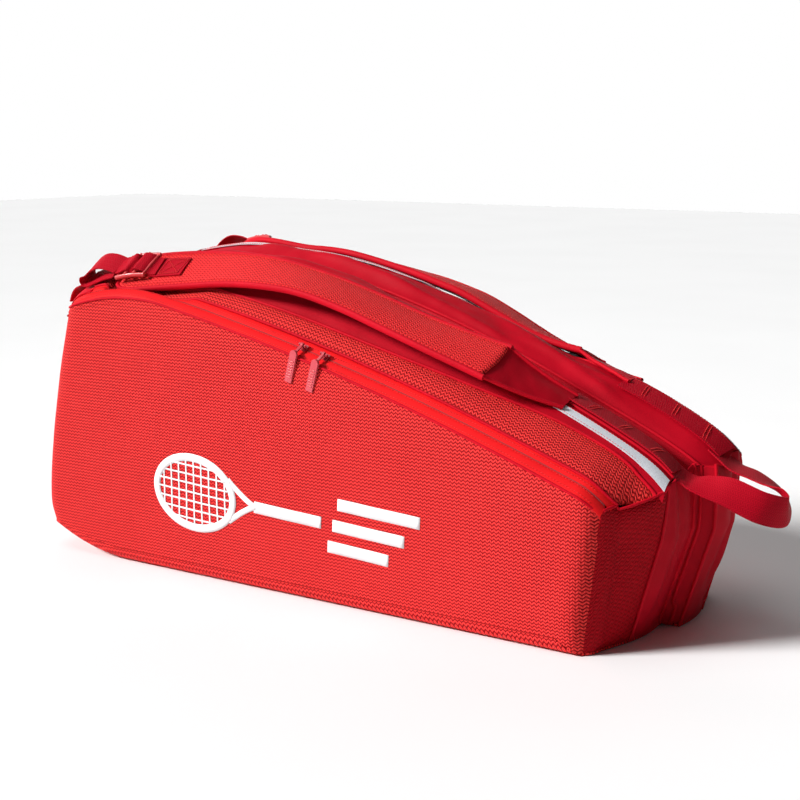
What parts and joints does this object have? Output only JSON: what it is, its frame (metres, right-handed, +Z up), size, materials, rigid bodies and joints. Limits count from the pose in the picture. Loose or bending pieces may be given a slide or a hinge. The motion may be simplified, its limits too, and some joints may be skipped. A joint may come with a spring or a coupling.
{
  "type": "racket tournament bag",
  "caption": "Wedge-shaped racket bag with two zipped lobes, padded shoulder straps, reflective crest strips and a webbing haul loop at the handle end.",
  "frame": {"origin": "on the floor plane under the base, midway along the bag, in the plane of the centre wall", "axes": "+X along the bag towards the haul loop, +Y to the rear lobe, +Z up"},
  "size_m": [0.826, 0.2676, 0.344],
  "materials": {
    "textured_fabric": "red basket-weave polyester, foam backed",
    "smooth_fabric": "red plain-weave polyester",
    "strap_fabric": "red basket-weave polyester over foam",
    "black_mesh": "black spacer mesh",
    "lining": "dark woven polyester lining",
    "stiffener": "polyethylene board",
    "zip_tape": "red woven zip tape with nylon coil",
    "reflective": "silver-white reflective tape",
    "slider_metal": "rose-red painted zinc",
    "pull_rubber": "rose-red moulded rubber",
    "buckle_plastic": "red moulded acetal",
    "webbing": "red woven polyester webbing"
  },
  "bodies": {
    "body": {"front_upper_zip_tape": "zip_tape", "front_top_panel": "textured_fabric", "front_ridge_band": "smooth_fabric", "front_reflective_strip": "reflective", "front_crown_panel": "smooth_fabric", "front_bottom_panel": "textured_fabric", "front_base_board": "stiffener", "front_left_gusset": "textured_fabric", "front_left_end_panel": "smooth_fabric", "front_corner_patch": "smooth_fabric", "front_right_gusset": "textured_fabric", "front_right_end_panel": "smooth_fabric", "front_wall_lining": "lining", "front_corner_webbing": "webbing", "front_anchor_webbing": "webbing", "rear_upper_zip_tape": "zip_tape", "rear_top_panel": "textured_fabric", "rear_ridge_band": "smooth_fabric", "rear_reflective_strip": "reflective", "rear_crown_panel": "smooth_fabric", "rear_bottom_panel": "textured_fabric", "rear_base_board": "stiffener", "rear_left_gusset": "textured_fabric", "rear_left_end_panel": "smooth_fabric", "rear_corner_patch": "smooth_fabric", "rear_right_gusset": "textured_fabric", "rear_right_end_panel": "smooth_fabric", "rear_wall_lining": "lining", "rear_corner_webbing": "webbing", "rear_anchor_webbing": "webbing", "divider_wall": "lining", "centre_seam_binding": "smooth_fabric", "accessory_pocket": "black_mesh"},
    "front_flap": {"front_face_panel": "textured_fabric", "front_face_lining": "lining", "front_lower_zip_tape": "zip_tape"},
    "front_strap": {"front_strap_pad": "strap_fabric", "front_strap_mesh": "black_mesh", "front_strap_tab": "webbing", "front_ladder_lock": "buckle_plastic", "front_strap_tail": "webbing", "front_anchor_flap": "smooth_fabric"},
    "front_left_slider": {"front_left_slider": "slider_metal"},
    "front_left_pull": {"front_left_pull": "pull_rubber"},
    "front_right_slider": {"front_right_slider": "slider_metal"},
    "front_right_pull": {"front_right_pull": "pull_rubber"},
    "rear_flap": {"rear_face_panel": "textured_fabric", "rear_face_lining": "lining", "rear_lower_zip_tape": "zip_tape"},
    "rear_strap": {"rear_strap_pad": "strap_fabric", "rear_strap_mesh": "black_mesh", "rear_strap_tab": "webbing", "rear_ladder_lock": "buckle_plastic", "rear_strap_tail": "webbing", "rear_anchor_flap": "smooth_fabric"},
    "rear_left_slider": {"rear_left_slider": "slider_metal"},
    "rear_left_pull": {"rear_left_pull": "pull_rubber"},
    "rear_right_slider": {"rear_right_slider": "slider_metal"},
    "rear_right_pull": {"rear_right_pull": "pull_rubber"},
    "haul_loop": {"haul_loop": "webbing"}
  },
  "joints": [
    {"name": "front_flap_open", "type": "hinge", "parent": "body", "child": "front_flap", "pos_m": [0, -0.13, 0.019], "axis": [1, 0, 0], "range_deg": [0, 9]},
    {"name": "front_left_slider_travel", "type": "hinge", "parent": "front_flap", "child": "front_left_slider", "pos_m": [-0.8284, -0.118, -2.783], "axis": [0, -1, 0], "range_deg": [0, 3.37]},
    {"name": "front_right_slider_travel", "type": "hinge", "parent": "front_flap", "child": "front_right_slider", "pos_m": [-0.8284, -0.118, -2.783], "axis": [0, 1, 0], "range_deg": [0, 5.22]},
    {"name": "front_left_pull_swing", "type": "hinge", "parent": "front_left_slider", "child": "front_left_pull", "pos_m": [-0.0393, -0.12117, 0.25661], "axis": [-0.9679, 0, 0.2513], "range_deg": [0, 120]},
    {"name": "front_right_pull_swing", "type": "hinge", "parent": "front_right_slider", "child": "front_right_pull", "pos_m": [-0.01327, -0.12117, 0.24973], "axis": [-0.9657, 0, 0.2596], "range_deg": [0, 120]},
    {"name": "front_strap_lift", "type": "hinge", "parent": "body", "child": "front_strap", "pos_m": [0.2186, -0.051, 0.2225], "axis": [0, 1, 0], "range_deg": [0, 20]},
    {"name": "rear_flap_open", "type": "hinge", "parent": "body", "child": "rear_flap", "pos_m": [0, 0.13, 0.019], "axis": [-1, 0, 0], "range_deg": [0, 9]},
    {"name": "rear_left_slider_travel", "type": "hinge", "parent": "rear_flap", "child": "rear_left_slider", "pos_m": [-0.8104, 0.118, -2.783], "axis": [0, -1, 0], "range_deg": [0, 3.37]},
    {"name": "rear_right_slider_travel", "type": "hinge", "parent": "rear_flap", "child": "rear_right_slider", "pos_m": [-0.8104, 0.118, -2.783], "axis": [0, 1, 0], "range_deg": [0, 5.22]},
    {"name": "rear_left_pull_swing", "type": "hinge", "parent": "rear_left_slider", "child": "rear_left_pull", "pos_m": [-0.0213, 0.12117, 0.25661], "axis": [0.9679, 0, -0.2513], "range_deg": [0, 120]},
    {"name": "rear_right_pull_swing", "type": "hinge", "parent": "rear_right_slider", "child": "rear_right_pull", "pos_m": [0.00473, 0.12117, 0.24973], "axis": [0.9657, 0, -0.2596], "range_deg": [0, 120]},
    {"name": "rear_strap_lift", "type": "hinge", "parent": "body", "child": "rear_strap", "pos_m": [0.2366, 0.051, 0.2225], "axis": [0, 1, 0], "range_deg": [0, 20]},
    {"name": "haul_loop_swing", "type": "hinge", "parent": "body", "child": "haul_loop", "pos_m": [0.3316, 0, 0.149], "axis": [0, -1, 0], "range_deg": [-45, 60]}
  ],
  "couplings": [
    {"joint": "front_right_slider_travel", "follows": "front_left_slider_travel", "ratio": 1.5463},
    {"joint": "front_flap_open", "follows": "front_left_slider_travel", "ratio": 2.6673},
    {"joint": "rear_right_slider_travel", "follows": "rear_left_slider_travel", "ratio": 1.5463},
    {"joint": "rear_flap_open", "follows": "rear_left_slider_travel", "ratio": 2.6673}
  ]
}
